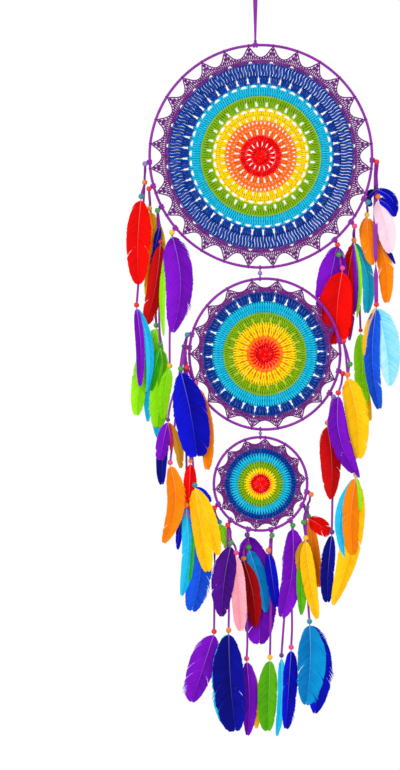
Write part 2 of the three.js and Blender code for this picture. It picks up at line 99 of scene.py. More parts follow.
# The room lights the hanging at a plain level. It is white to the camera and in gloss.
room_light, room_seen = 0.68, 1.0
world = bpy.data.worlds.new("white_room")
world.use_nodes = True
scene.world = world
room = world.node_tree
room.nodes.clear()
rays = add_node(room, "LightPath")
seen = rays["Is Camera Ray"]
for kind in ("Is Transmission Ray", "Is Glossy Ray"):
    seen = add_node(room, "Math", operation="MAXIMUM", inputs={0: seen, 1: rays[kind]})[0]
strength = add_node(room, "Mix", data_type="FLOAT", inputs={0: seen, 2: room_light, 3: room_seen})[0]
sky = add_node(room, "Background", inputs={"Color": (1, 1, 1, 1), "Strength": strength})[0]
add_node(room, "OutputWorld", inputs={"Surface": sky})

floor_height, floor_radius, floor_corners = -1.12, 0.31, 48
floor_rim = [(floor_radius * math.cos(turn), floor_radius * math.sin(turn), floor_height)
             for turn in full_turn(floor_corners)]
floor_mesh = bpy.data.meshes.new("pale_floor")
floor_mesh.from_pydata(floor_rim, [], [list(range(floor_corners))])
floor = bpy.data.objects.new("pale_floor", floor_mesh)
scene.collection.objects.link(floor)


# Every finish starts from one principled surface, which the sections below fill in.
def new_finish(name, roughness, **sockets):
    finish = bpy.data.materials.new(name)
    finish.use_nodes = True
    tree = finish.node_tree
    surface = tree.nodes["Principled BSDF"]
    surface.inputs["Roughness"].default_value = roughness
    for socket, value in sockets.items():
        surface.inputs[socket.replace("_", " ")].default_value = value
    return finish, tree, surface


def colour_between(tree, surface, share, deep, bright):
    """Colours a surface between two colours, at a share of the second. Gives the colour."""
    colour = add_node(tree, "Mix", data_type="RGBA", inputs={0: share, 6: deep, 7: bright})[2]
    tree.links.new(colour, surface.inputs["Base Color"])
    return colour


def raised(tree, surface, height, strength, distance):
    """Gives a surface a fine relief."""
    relief = add_node(tree, "Bump", inputs={
        "Height": height, "Strength": strength, "Distance": distance})[0]
    tree.links.new(relief, surface.inputs["Normal"])


def drifting(tree, surface, size, deep, bright, detail=2, stretch=(1, 1, 1), sway=None):
    """Colours a surface between two colours in patches of one size, or with a sway, about each point's
    tone, which holds the painted light and shade of yarn and feathers. Gives back the colour, its share
    of the second colour, and the place."""
    place = add_node(tree, "TexCoord")["Object"]
    stretched = add_node(tree, "Mapping", inputs={"Vector": place, "Scale": stretch})[0]
    share = add_node(tree, "TexNoise", inputs={
        "Vector": stretched, "Scale": 1 / size, "Detail": detail})[0]
    if sway:
        tone = add_node(tree, "Attribute", attribute_name="tone")["Fac"]
        swayed = add_node(tree, "Math", operation="MULTIPLY_ADD", inputs={
            0: share, 1: sway, 2: tone})[0]
        share = add_node(tree, "Math", operation="SUBTRACT", inputs={0: swayed, 1: sway / 2})[0]
    return colour_between(tree, surface, share, deep, bright), share, place


# White painted board: an even matt white, with a faint mottle from the roller, 10.3 mm across.
floor_finish, floor_tree, floor_surface = new_finish("white_painted_board", 0.8)
drifting(floor_tree, floor_surface, 10.3 * mm, linear("#F6F6F6"), linear("#FBFBFB"))
floor_mesh.materials.append(floor_finish)

# Strands: each is a narrow ribbon knotted round a hoop, both its ends drawn through a neck bead and
# left to hang with more beads and dyed feathers. They hang in layers, so that each sways past the next.
wrap_radius = 2.0
bead_size = 7.5
neck_drop = 2.0
sway_gap, tie_gap = 0.6, 0.4
ribbon_width, ribbon_thickness, ribbon_room = 3.0, 0.4, 0.7
ribbon_lift = 2.15
tie_inner = (wrap_radius + tie_gap) / math.cos(math.pi / 6)
settle_from, settle_length = tie_inner + ribbon_room, 16.0
neck_reach = wrap_radius + bead_size / 2 + sway_gap
layer_pitch = bead_size / 2 + ribbon_lift + ribbon_room / 2 + tie_gap
loop_drop, upper_link_drop, lower_link_drop = 74.0, 15.2, 10.6
big_radius, middle_radius, small_radius = 149.0, 101.0, 62.5


def hung(knot, aside, radius, drop=0):
    """Where a ring's middle, or its lowest knot, comes when it hangs a little aside."""
    return knot[0] + aside, knot[1] - drop - math.sqrt(radius**2 - aside**2)


big_middle = hung((0, 0), 7.4, big_radius, loop_drop)
upper_link = hung(big_middle, -1, big_radius)
middle_middle = hung(upper_link, 6.3, middle_radius, upper_link_drop)
lower_link = hung(middle_middle, -5.9, middle_radius)
small_middle = hung(lower_link, 0.2, small_radius, lower_link_drop)
hoops = {"big": (*big_middle, big_radius), "middle": (*middle_middle, middle_radius),
         "small": (*small_middle, small_radius)}


def back(layer):
    return neck_reach + (layer - 1) * layer_pitch


def under(layer):
    return layer * layer_pitch


# Name, which begins with the hoop's, clock angle, depth, neck bead, then the ends. An end has a name,
# its beads (sideways and down from the knot, colour, share of full size) and its feathers (tip sideways
# and down, width, swing of the middle to the right as a share of the length, lift in depth, dye). Ends
# named tail close the ribbon.
foremost, front, rear, behind = -2.21, -0.85, 0.85, 3.81
strands = [
    ("big_left_1", 267, back(2), "lilac", [
        ("red", [(-7, 26, "orange", 1), (-12, 45, "teal", 1)], [(-16, 163, 33, -0.02, front, "red")]),
        ("tail", [(-18, 191, "red", 1)], [
            (-13, 301, 12, 0.03, front, "purple"), (-4, 309, 12, 0.085, rear, "cyan")])]),
    ("big_left_2", 254.5, back(4), "red", [
        ("yellow", [(-6, 28, "yellow", 1)], [(-7, 150, 27, 0.06, front, "yellow")]),
        ("tail", [(3, 186, "green", 1)], [
            (-24, 308, 23, -0.045, front, "lime"), (-6, 276, 13, 0.015, rear, "green"),
            (7, 269, 10, 0.05, front, "lime"), (-8, 317, 13, -0.03, rear, "cyan")])]),
    ("big_left_3", 243, back(3), "green", [
        ("red", [(-2, 46, "red", 0.8)], [
            (-21, 157, 23, 0.03, front, "crimson"), (-12, 87, 15, -0.045, rear, "navy")]),
        ("tail", [(-2, 185, "green", 1)], [
            (-6, 296, 27, 0.01, front, "lime"), (-5, 311, 17, -0.045, rear, "cyan"),
            (-15, 247, 12, -0.02, foremost, "green"), (-3, 242, 11, 0.06, foremost, "leaf")]),
        ("extra", [(-3, 23, "purple", 0.5)], [(-11, 61, 9, 0, rear, "navy")])]),
    ("big_left_4", 230, back(1), "yellow", [
        ("purple", [], [(-4, 141, 38, 0.085, front, "purple"), (-16, 146, 9, -0.045, rear, "lime")]),
        ("tail", [(-8, 185, "yellow", 1)], [(-17, 257, 17, -0.03, front, "lime")])]),
    ("big_right_1", 92, back(2), "red", [
        ("blue", [(9, 48, "orange", 1)], [
            (32, 75, 13, 0.12, front, "blue"), (26, 124, 25, 0.04, rear, "blush"),
            (33, 139, 10, -0.07, behind, "navy")]),
        ("tail", [(7, 193, "red", 1)], [
            (25, 303, 33, 0.03, rear, "ice"), (11, 334, 21, -0.055, front, "royal"),
            (-9, 262, 9, -0.06, front, "yellow")]),
        ("extra", [(7, 35, "purple", 0.5)], [
            (33, 71, 13, 0.2, rear, "blue"), (-1, 61, 11, -0.25, rear, "navy")])]),
    ("big_right_2", 112.5, back(3), "teal", [
        ("orange", [(6, 20, "yellow", 1)], [
            (14, 88, 19, -0.03, front, "orange"), (33, 139, 21, 0.09, rear, "orange"),
            (-2, 52, 7, -0.08, front, "orange")])]),
    ("big_right_3", 126, back(4), "pink", [
        ("teal", [(6, 23, "orange", 1)], [
            (10, 129, 7, 0.06, front, "lime"), (23, 122, 17, 0.1, rear, "teal"),
            (-2, 153, 20, -0.045, rear, "crimson"), (8, 121, 8, 0.03, front, "purple"),
            (0, 160, 14, 0, behind, "purple")]),
        ("tail", [(15, 145, "red", 0.8)], [
            (16, 255, 24, 0.02, front, "lime"), (28, 268, 13, -0.02, rear, "yellow")])]),
    ("big_right_4", 138.5, back(1), "red", [
        ("purple", [], [(-17, 101, 38, 0.01, behind, "purple")]),
        ("red", [(6, 20, "green", 1), (11, 38, "pink", 1)], [(4, 140, 44, -0.035, front, "red")])]),
    ("middle_left_1", 285, -back(2), "teal", [
        ("blue", [(-11, 16, "purple", 0.8), (-15, 46, "green", 1)], [
            (7, 163, 44, 0.02, front, "blue")]),
        ("purple", [(-32, 114, "purple", 0.8)], [
            (-42, 168, 17, -0.02, front, "purple"), (-40, 201, 15, -0.03, rear, "navy"),
            (-27, 159, 7, 0.02, front, "magenta"), (-15, 179, 12, 0.06, rear, "ochre")]),
        ("tail", [(-29, 171, "pink", 1)], [(-38, 279, 24, 0.11, front, "orange")])]),
    ("middle_left_2", 275, -back(1), "orange", [
        ("orange", [(-4, 27, "red", 1), (8, 48, "pink", 1)], [(23, 164, 18, 0.05, front, "orange")]),
        ("yellow", [(7, 184, "teal", 1)], [
            (24, 300, 24, 0, front, "yellow"), (39, 278, 23, 0.03, front, "yellow"),
            (0, 314, 14, 0.02, rear, "green"), (28, 207, 9, 0.1, rear, "blue")]),
        ("tail", [(-5, 211, "orange", 1)], [
            (-11, 333, 19, 0.05, rear, "cyan"), (3, 353, 33, 0.11, rear, "royal"),
            (-16, 271, 10, -0.05, rear, "blue")]),
        ("extra", [(1, 152, "orange", 0.8)], [(-2, 227, 18, 0, rear, "red")])]),
    ("middle_right_1", 79.5, -back(2), "red", [
        ("yellow", [(14, 32, "green", 1), (11, 46, "orange", 1)], [
            (25, 158, 30, 0.05, front, "yellow")]),
        ("tail", [(22, 180, "yellow", 1)], [
            (18, 286, 22, -0.045, front, "orange"), (8, 292, 15, -0.13, rear, "cyan"),
            (-9, 355, 29, 0.06, rear, "yellow"), (27, 228, 8, 0.03, front, "lime")])]),
    ("middle_right_2", 103, -back(3), "red", [
        ("purple", [(-1, 29, "red", 1)], [
            (21, 135, 24, -0.095, front, "purple"), (27, 143, 13, -0.05, rear, "purple")])]),
    ("middle_right_3", 121, -back(1), "lilac", [
        ("red", [(-3, 40, "orange", 1)], [(2, 143, 28, 0.035, front, "crimson")]),
        ("tail", [(3, 186, "purple", 1)], [(-3, 280, 18, -0.02, front, "navy")])]),
    ("small_1", 244, under(1), "red", [
        ("lime", [(1, 24, "teal", 1)], [(13, 64, 15, 0.045, front, "lime")]),
        ("tail", [(-6, 171, "red", 1)], [(-36, 266, 36, 0, front, "purple")])]),
    ("small_2", 219.5, under(0), "red", [
        ("violet", [(0, 31, "green", 1)], [(-12, 130, 31, -0.03, front, "violet")]),
        ("pink", [(7, 44, "pink", 1)], [(14, 149, 20, 0.01, rear, "pink")]),
        ("tail", [(-3, 148, "orange", 1)], [
            (6, 283, 42, -0.015, front, "navy"), (-7, 274, 29, -0.045, rear, "cyan")])]),
    ("small_3", 195, under(3), "purple", [
        ("purple", [], [(15, 157, 51, 0.045, behind, "purple")]),
        ("cyan", [(1, 26, "green", 1)], [(24, 114, 20, 0.03, rear, "azure")]),
        ("red", [(-6, 41, "orange", 1)], [(10, 134, 23, 0.048, front, "wine")]),
        ("tail", [(-2, 176, "pink", 1)], [
            (-1, 280, 20, 0.03, front, "purple"), (11, 271, 12, 0.06, rear, "yellow")])]),
    ("small_4", 167, under(2), "green", [
        ("blue", [(-3, 29, "orange", 1)], [
            (8, 106, 16, 0, front, "blue"), (3, 68, 10, 0.03, rear, "magenta")]),
        ("tail", [(-1, 173, "yellow", 1)], [(-4, 272, 26, 0, front, "leaf")])]),
    ("small_5", 141, under(1), "green", [
        ("purple", [], [(-11, 131, 30, 0.055, front, "purple")]),
        ("tail", [(2, 171, "pink", 1)], [(-5, 281, 20, 0, front, "blue")]),
        ("tail", [(-11, 182, "purple", 0.88)], [(-17, 291, 11, 0.03, front, "cyan")])]),
    ("small_6", 100, under(2), "orange", [
        ("orange", [(2, 21, "purple", 0.8), (3, 33, "green", 1)], [
            (33, 56, 22, 0.03, front, "red"), (17, 129, 18, 0, rear, "orange")])]),
    ("small_7", 117, under(0), "purple", [
        ("yellow", [(2, 23, "green", 1), (5, 44, "yellow", 1)], [
            (21, 153, 19, -0.02, front, "yellow"), (-1, 148, 17, -0.02, rear, "leaf"),
            (-5, 88, 12, -0.08, rear, "ochre")]),
        ("tail", [(10, 156, "teal", 1)], [
            (5, 268, 38, 0.03, front, "azure"), (17, 280, 36, 0.06, rear, "blue")])]),
]


def knot_of(name, clock):
    x, z, radius = hoops[name.split("_")[0]]
    return x + radius * math.sin(math.radians(clock)), z + radius * math.cos(math.radians(clock))


def neck_of(clock):
    angle = math.radians(clock)
    return neck_reach * math.sin(angle), neck_drop - neck_reach * math.cos(angle)


def eased(value, start, stop):
    share = np.clip((value - start) / (stop - start), 0, 1)
    return share * share * (3 - 2 * share)


def hang(knot, depth, side, drop, lift):
    """A place on a strand, which eases into its layer of depth below the knot."""
    layer = depth * eased(drop, settle_from, settle_from + settle_length)
    return np.stack(np.broadcast_arrays(knot[0] + side, layer + lift, knot[1] - drop), axis=-1)


def piece(name, parts, finishes, body, bend=35, tones=None):
    """A piece on its body, from parts of (points, faces) or (points, faces, number of their finish).
    Tones shade each point."""
    points, faces, marks = [], [], []
    for part_points, part_faces, *mark in parts:
        faces.extend(tuple(len(points) + i for i in face) for face in part_faces)
        points.extend((part_points * mm).tolist())
        marks.extend((mark or [0]) * len(part_faces))
    mesh = bpy.data.meshes.new(name)
    mesh.from_pydata(points, [], faces)
    for finish in finishes:
        mesh.materials.append(finish)
    mesh.polygons.foreach_set("material_index", np.asarray(marks, dtype=np.int32))
    if tones is not None:
        layer = mesh.attributes.new("tone", "FLOAT", "POINT")
        layer.data.foreach_set("value", np.asarray(tones, dtype=np.float32))
    mesh.shade_smooth()
    mesh.set_sharp_from_angle(angle=math.radians(bend))
    made = bpy.data.objects.new(name, mesh)
    scene.collection.objects.link(made)
    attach(made, body)
    return made


# Satin ribbon, woven from filament: a deep purple, its dye a little uneven, with a soft bright streak
# where it turns to the light.
satin, satin_tree, satin_surface = new_finish(
    "satin_ribbon", 0.42, Sheen_Weight=0.05, Sheen_Roughness=0.4, Specular_IOR_Level=0.3)
*_, satin_place = drifting(
    satin_tree, satin_surface, 11.1 * mm, linear("#700A8A"), linear("#A016B2"), detail=3)
# The threads are 0.25 mm apart. A wave of 16 mm draws them as ribs 5 mm apart, so that they show.
satin_threads = add_node(satin_tree, "TexWave", bands_direction="Z", inputs={
    "Vector": satin_place, "Scale": 1 / (16 * mm), "Distortion": 1.0})["Fac"]
raised(satin_tree, satin_surface, satin_threads, strength=0.25, distance=0.1 * mm)


def ring_faces(count, sides):
    """Faces between neighbours in a closed row of rings."""
    return [(r * sides + s, r * sides + (s + 1) % sides, (r + 1) % count * sides + (s + 1) % sides,
             (r + 1) % count * sides + s) for r in range(count) for s in range(sides)]


def lofted(rings):
    """Points and faces of a closed skin over rings of equal count."""
    count, sides = rings.shape[:2]
    faces = ring_faces(count, sides)[:-sides]
    faces.append(tuple(reversed(range(sides))))
    faces.append(tuple((count - 1) * sides + side for side in range(sides)))
    return rings.reshape(-1, 3), faces


def flat_length(route, across, through):
    """A flat length along a route, from half its width and half its thickness at each place."""
    return lofted(np.stack([route - across - through, route + across - through,
                            route + across + through, route - across + through], axis=1))


def unit(lines):
    return lines / np.maximum(np.linalg.norm(lines, axis=-1, keepdims=True), 1e-9)


def sideways_of(route):
    """The directions across a route at each place, in the picture's plane and out of it."""
    run = unit(np.gradient(route, axis=0))
    flat = unit(np.cross(run, (0, 1, 0)))
    return flat, np.cross(flat, run)


def strip(route, widths, thickness, turns):
    """A flat ribbon along a route, turned about its own line by the given angles."""
    route = np.asarray(route, float)
    flat, face = sideways_of(route)
    turns = np.asarray(turns)[:, None]
    across = (flat * np.cos(turns) + face * np.sin(turns)) * np.asarray(widths)[:, None] / 2
    through = (face * np.cos(turns) - flat * np.sin(turns)) * thickness / 2
    return flat_length(route, across, through)


wide_end, wide_end_width = ("big_right_1", "tail"), 6.0
place_spacing, slack = 5.0, 1.6
lifted_from, twisted_from, cord_from = 12, 90, 30
sway_turn, sway_rate = 0.45, 0.04
twist_reach, twist_waist = 14, 0.6
for name, clock, depth, _, ends in strands:
    knot = knot_of(name, clock)
    for number, (end_name, beads, _) in enumerate(ends):
        if not beads:
            continue
        rng = random.Random(f"{name} ribbon {number}")
        stops = [neck_of(clock)] + [(side, drop) for side, drop, _, _ in beads]
        route = []
        for (side_a, drop_a), (side_b, drop_b) in zip(stops, stops[1:]):
            fall = drop_b - drop_a
            share = np.linspace(0, 1, max(8, int(fall / place_spacing)), endpoint=False)
            drop = drop_a + fall * share
            off_beads = 0 * share
            if fall > lifted_from:
                off_beads = eased(np.minimum(drop - drop_a, drop_b - drop), 0.5, 6)
            wave = np.sin(math.pi * rng.choice([1, 2, 3]) * share)
            side = side_a + (side_b - side_a) * share + rng.uniform(-slack, slack) * wave * off_beads
            route.append(hang(knot, depth, side, drop, ribbon_lift * off_beads))
        route.append(hang(knot, depth, *stops[-1], 0.0)[None])
        route = np.concatenate(route)
        wide = wide_end_width if (name, end_name) == wide_end else ribbon_width
        run = np.concatenate([[0], np.cumsum(np.linalg.norm(np.diff(route, axis=0), axis=1))])
        # It hangs nearly flat to the front. A long end has one half twist in it, which pulls it narrow.
        twist_place = rng.uniform(0.25, 0.75) * run[-1]
        twist_way = rng.choice([-1, 1])
        twist = eased(run, twist_place - twist_reach, twist_place + twist_reach)
        twist = twist * (run[-1] > twisted_from)
        turns = sway_turn * np.sin(run * sway_rate + rng.uniform(0, 6)) + twist_way * math.pi * twist
        widths = wide * (1 - twist_waist * np.sin(math.pi * twist) ** 0.7)
        ribbon = piece(f"{name}_{end_name}_{number}_ribbon",
                       [strip(route, widths, ribbon_thickness, turns)], [satin], name)

# Hanging loop: the same ribbon doubled over the hook, pulled narrow at a knot above the big hoop and
# passed round its wire. It is held taut from a hook just above the picture.
loop_thickness, loop_lean, loop_turn_apart = 0.5, 0.05, 1.7
knot_half_gap, hook_half_gap = 0.5, 2.6
over_half, over_rise, top_clear = 2.45, 2.0, 0.4
loop_foot = -loop_drop + tie_inner + 1.1
loop_start = loop_foot + 4
up = np.linspace(loop_start, -1.0, 14)
half_gap = np.interp(up, [loop_start, -1.6], [knot_half_gap, hook_half_gap])
front_run = np.stack([0 * up, -half_gap, up], axis=1)
over = np.linspace(math.radians(200), math.radians(-20), 9)
top_height = top_clear + over_rise * (np.sin(over) - 1)
top_run = np.stack([0 * over, over_half * np.cos(over), top_height], axis=1)
loop_route = np.concatenate([front_run, top_run, front_run[::-1] * (1, -1, 1)])
loop_width = np.interp(loop_route[:, 2], [loop_start, -10, 0], [2.6, 6.2, 6.6])
loop_run = unit(np.gradient(loop_route, axis=0))
loop_across = np.outer(loop_width / 2, (1.0, 0, 0))
loop_through = np.cross(loop_run, (1.0, 0, 0)) * loop_thickness / 2
loop = piece("hanging_loop_ribbon", [flat_length(loop_route, loop_across, loop_through)], [satin],
             "hanger")
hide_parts("hanging_loop")


def ring_round(centre, axis, radius, section, count):
    """A closed band round an axis: section points are (outwards, along the axis)."""
    axis = unit(np.asarray(axis, float))
    first = unit(np.cross(axis, (0, 1, 0)))
    second = np.cross(axis, first)
    angle = full_turn(count)[:, None, None]
    out, along = np.array(section).T[:, None, :, None]
    spokes = np.cos(angle) * first + np.sin(angle) * second
    points = np.asarray(centre) + (out + radius) * spokes + along * axis
    return points.reshape(-1, 3), ring_faces(count, len(section))


band_radius, band_corners = 2.62, 22
band_section = [(0.0, -1.3), (0.45, -1.5), (0.7, -0.8), (0.75, 0.0),
                (0.7, 0.8), (0.45, 1.5), (0.0, 1.3)]
knot_section = [(0, -2.2), (0.9, -1.7), (1.5, -0.5), (1.5, 0.6), (1.0, 1.8), (0, 2.3)]
parts = [ring_round((shift, 0, -loop_drop + loop_lean * shift), (1, 0, loop_lean), band_radius,
                    band_section, band_corners) for shift in (-loop_turn_apart, loop_turn_apart)]
parts.append(ring_round((0, 0, loop_foot + 1.6), (0, 0, 1), 0.55, knot_section, 16))
to_wire = [[0, -0.2, loop_foot + 0.4], [0, -0.9, -loop_drop + 4.0], [0, -2.9, -loop_drop + 2.0]]
parts.append(strip(to_wire, [2.6, 2.8, 3.0], loop_thickness, [0, 0, 0]))
piece("hanging_loop_knot", parts, [satin], "hanger")

# Ties: each strand's ribbon is doubled round the bound wire in a lark's head, two turns side by side
# with the bight across the front, and its ends go down into the neck bead.
tie_thickness, turn_apart, stem_from = 0.9, 1.65, 3.0
to_front = np.array([0, -1, 0])
# Places on the bight: along the wire, outwards from it, to the front.
bight_places = [(-2.4, 2.9, 1.4), (0, 3.4, 1.1), (2.4, 2.9, 1.4)]
for name, clock, depth, *_ in strands:
    knot = knot_of(name, clock)
    turn = math.radians(clock)
    out = np.array([math.sin(turn), 0, math.cos(turn)])
    tangent = np.array([math.cos(turn), 0, -math.sin(turn)])
    centre = np.array([knot[0], 0, knot[1]])
    parts = [ring_round(centre + shift * tangent, tangent, band_radius, band_section, band_corners)
             for shift in (-turn_apart, turn_apart)]
    bight = [centre + a * tangent + b * out + c * to_front for a, b, c in bight_places]
    parts.append(strip(bight, [2.4, 2.8, 2.4], tie_thickness, [0.6, 0.6, 0.6]))
    stem_top = centre + stem_from * out
    stem_foot = hang(knot, depth, *neck_of(clock), 0.0)
    stem = stem_top + (stem_foot - stem_top) * np.linspace(0, 1, 5)[:, None]
    parts.append(strip(stem, [2.4, 2.2, 2.0, 1.9, 1.8], tie_thickness, np.linspace(0.2, 0.9, 5)))
    tie = piece(f"{name}_tie", parts, [satin], name)
    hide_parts(f"{name}_strand")

# Hoops: steel wire bound all round in the same ribbon, each turn lapping the one before. The wire is
# the solid itself and can't be seen, the binding shows its laps as slanting ridges.
lap_length, lap_steps, wrap_sides = 3.6, 6, 12
wrap_least, lap_rise = 1.68, 0.4

# Drawn steel wire: a plain grey shine, with streaks 2.5 mm long from the die.
wire_steel, wire_tree, wire_surface = new_finish("drawn_steel_wire", 0.35, Metallic=1.0)
drifting(wire_tree, wire_surface, 2.5 * mm, linear("#8E9094"), linear("#A9ABAF"))

for hoop, (x, z, radius) in hoops.items():
    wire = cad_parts[f"{hoop}_hoop_wire"]
    wire.data.materials.clear()
    wire.data.materials.append(wire_steel)
    laps = round(2 * math.pi * radius / lap_length)
    count = laps * lap_steps
    around = full_turn(count)[:, None]
    section = full_turn(wrap_sides)[None, :]
    lap = (around * laps / (2 * math.pi) + section / (2 * math.pi)) % 1
    skin = wrap_least + lap_rise * lap
    out = radius + skin * np.cos(section)
    points = np.stack([x + out * np.sin(around), skin * np.sin(section), z + out * np.cos(around)],
                      axis=-1).reshape(-1, 3)
    binding = piece(f"{hoop}_hoop_ribbon", [(points, ring_faces(count, wrap_sides))], [satin],
                    f"{hoop}_hoop", bend=70)
    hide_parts(f"{hoop}_hoop_binding")

# Mandalas: crochet in cotton yarn, worked outwards in rounds. A post is a stem of two plies twisted
# together, a chain is the braid that closes a round, a fan is a group of posts worked into one stitch.
yarn_dyes = {"red": "#F80406", "orange": "#FF7410", "yellow": "#FFDE08", "green": "#86B806",
             "cyan": "#14C4E8", "blue": "#0A3FA0", "purple": "#762884"}
highlight_gain, highlight_white = 1.8, 0.15
crevice_least, crevice_gain = 0.36, 0.14


# Mercerised cotton yarn, spun and dyed: matt fibres, a little mottled. Each point's tone paints light
# and
# shade on it: a painted highlight, pale, along the crown of each ply, and painted shade, darker, where
# it dips between the stitches. The painted shade of bright yarn is lighter, for the light it throws
# into its crevices.
def cotton(name, dye):
    finish, tree, surface = new_finish(f"{name}_cotton_yarn", 0.9, Specular_IOR_Level=0.08)
    lit = linear(dye)
    # Painted shade: the deep colour where the yarn dips, lighter for bright yarn.
    crevice = crevice_least + crevice_gain * sum(lit[:3])
    deep = tuple(crevice * c**1.3 for c in lit[:3]) + (1.0,)
    # Painted highlight: the pale colour that a high tone runs towards, along the crown of each ply.
    pale = tuple(highlight_white + (1 - highlight_white) * c for c in lit[:3]) + (1.0,)
    colour, share, place = drifting(tree, surface, 5 * mm, deep, lit, detail=4, sway=0.5)
    crown = add_node(tree, "Math", operation="MULTIPLY_ADD", use_clamp=True, inputs={
        0: share, 1: highlight_gain, 2: -highlight_gain})[0]
    colour_between(tree, surface, crown, colour, pale)
    # The fibres are 0.02 mm thick, drawn at 0.5 mm so that they show.
    fibres = add_node(tree, "TexNoise", inputs={"Vector": place, "Scale": 1 / (0.5 * mm), "Detail": 2})
    raised(tree, surface, fibres[0], strength=0.4, distance=0.2 * mm)
    return finish


yarns = {name: cotton(name, dye) for name, dye in yarn_dyes.items()}
stitch_rng = random.Random("stitches")


def ply(route, thick, sides):
    """One closed length along a route."""
    route = np.asarray(route, float)
    flat, face = sideways_of(route)
    angle = full_turn(sides)[None, :, None] + 0.4
    around = np.cos(angle) * flat[:, None] + np.sin(angle) * face[:, None]
    return lofted(route[:, None] + np.broadcast_to(thick, len(route))[:, None, None] * around)


def yarn(route, thick, tone=1.0, sides=5):
    """A length of yarn with its tone of painted light: 1 in the light, less in painted shade where it
    dips between stitches.
    """
    return *ply(route, thick, sides), np.repeat(np.broadcast_to(tone, len(route)), sides)


def around_middle(radius, angle, depth=0.0):
    return np.stack(np.broadcast_arrays(radius * np.sin(angle), depth, radius * np.cos(angle)), axis=-1)


stitch_overlap, twist_length = 0.4, 10
ply_apart, ply_depth = 0.42, np.array([0, 0.8, 0])
# Painted light and shade on a post: the ply in front lighter, up to a highlight, the ply behind darker,
# and the post darker at its foot and head, where it dips into the rounds.
ply_light, ply_shade = 0.98, 0.27
post_swell = np.array([0.28, 0.52, 0.66, 0.7, 0.7, 0.7, 0.66, 0.54])
post_light = np.array([0.7, 0.85, 0.95, 1, 1, 1, 0.9, 0.7])


def post(inner, outer, angle_in, angle_out, thick, bulge=0.35, foot=1.8):
    """Two plies twisted together. Their thin foot is drawn through the round below, over its edge."""
    share = np.linspace(0, 1, len(post_swell))
    start = inner - min(foot, 0.6 * inner)
    radius = start + (outer + stitch_overlap - start) * share
    angle = angle_in + (angle_out - angle_in) * share
    depth = np.interp(share, [0, 0.2, 0.55, 1], [-0.95, -0.5, -0.4 - bulge, -0.45])
    middle = around_middle(radius, angle, depth)
    side = np.stack([-np.cos(angle), 0 * angle, np.sin(angle)], axis=1)
    twists = max(0.5, (outer - inner) / twist_length)
    twist = stitch_rng.uniform(0.2, 1.0) + 2 * math.pi * share * twists
    # Each post's painted light is a little lighter or darker at random.
    light = stitch_rng.uniform(0.8, 1.0) * post_light
    lengths = []
    for turn in (twist, twist + math.pi):
        offset = np.cos(turn)[:, None] * side + np.sin(turn)[:, None] * ply_depth
        lengths.append(yarn(middle + ply_apart * thick * offset, thick * post_swell,
                            light * (ply_light - ply_shade * np.sin(turn))))
    return lengths


back_depth, back_light, back_shade = 0.75, 0.9, 0.25
back_fill, opening_fill, braid_half = 0.3, 0.32, 0.85


def backing(inner, outer, angle_in, angle_out, thick):
    """The back of a stitch: one flat length behind the gap between two posts, its front painted dark as
    shade.
    """
    share = np.linspace(0, 1, 3)
    angle = angle_in + (angle_out - angle_in) * share
    route = around_middle(inner + (outer - inner) * share, angle, back_depth)
    points, faces, _ = yarn(route, thick)
    return points, faces, np.where(points[:, 1] > back_depth, back_light, back_shade)


def chain(radius, count):
    """The braid along the top of a round: pairs of slanting loops."""
    lengths = []
    pitch = 2 * math.pi / count
    share = np.array([0.0, 0.5, 1.0])
    depth = np.array([-0.5, -1.15, -0.6])
    for k in range(count):
        for edge in (-braid_half, braid_half):
            bow = np.array([edge * 0.7, edge, edge * 0.15])
            route = around_middle(radius + bow, (k + 1.25 * (share - 0.1)) * pitch, depth)
            # Painted light: each loop lighter, up to a highlight, at its middle, and darker at its
            # ends, as in shade.
            lengths.append(yarn(route, thick=[0.45, 0.8, 0.4], tone=[0.75, 1.15, 0.7], sides=4))
    return lengths


def posts(inner, outer, count, fill=0.45, start=0.0, bulge=0.35, foot=1.8):
    """A round of single posts. Fill is their thickness as a share of their spacing."""
    return fans(inner, outer, count, 1, 0, 0, start, fill, bulge, foot, backs=2)


def fans(inner, outer, count, each, foot_gap, head_gap, start,
         fill=0.46, bulge=0.35, foot=1.8, backs=1):
    """Groups of posts with an opening between them, its width given at their foot and at their head.
    The back of the work, its front painted dark as shade, shows nowhere (0), between posts (1) or in
    the openings too (2)."""
    turn = 2 * math.pi / count
    low = 1 - foot_gap / (inner * turn)
    high = 1 - head_gap / (outer * turn)
    spacing = turn * (inner * low + 2 * outer * high) / 3 / each
    lengths = []
    for k in range(count):
        middle = start + (k + 0.5) * turn
        for n in range(each):
            share = ((n + 0.5) / each - 0.5) * turn
            lengths += post(inner, outer, middle + share * low, middle + share * high,
                            fill * spacing, bulge, foot)
            if n + 1 < each and backs:
                share += turn / each / 2
                lengths.append(backing(inner, outer, middle + share * low, middle + share * high,
                                       back_fill * spacing))
        if backs == 2:
            edge = middle + turn / 2
            lengths.append(backing(inner, outer, edge, edge, opening_fill * spacing))
    return lengths


def waves(inner, outer, count, fill, sway):
    """Long posts that all swerve the same way, with a slit between each two."""
    turn = 2 * math.pi / count
    share = np.linspace(0, 1, 10)
    radius = inner + (outer - inner) * share
    arch = np.sin(math.pi * share)
    lengths = []
    for k in range(count):
        swerve = sway * stitch_rng.uniform(0.75, 1.25)
        swerve = swerve * np.sin(2 * math.pi * share + stitch_rng.uniform(-0.3, 0.3))
        route = around_middle(radius, (k + 0.5 + swerve) * turn, -0.45 - 0.4 * arch)
        # Painted light: each post lighter at its middle, where it bulges forward, and a little lighter
        # or darker at random.
        light = stitch_rng.uniform(0.8, 1.15) * (0.8 + 0.2 * arch)
        lengths.append(yarn(route, fill * turn * radius / 2, light, sides=6))
    return lengths


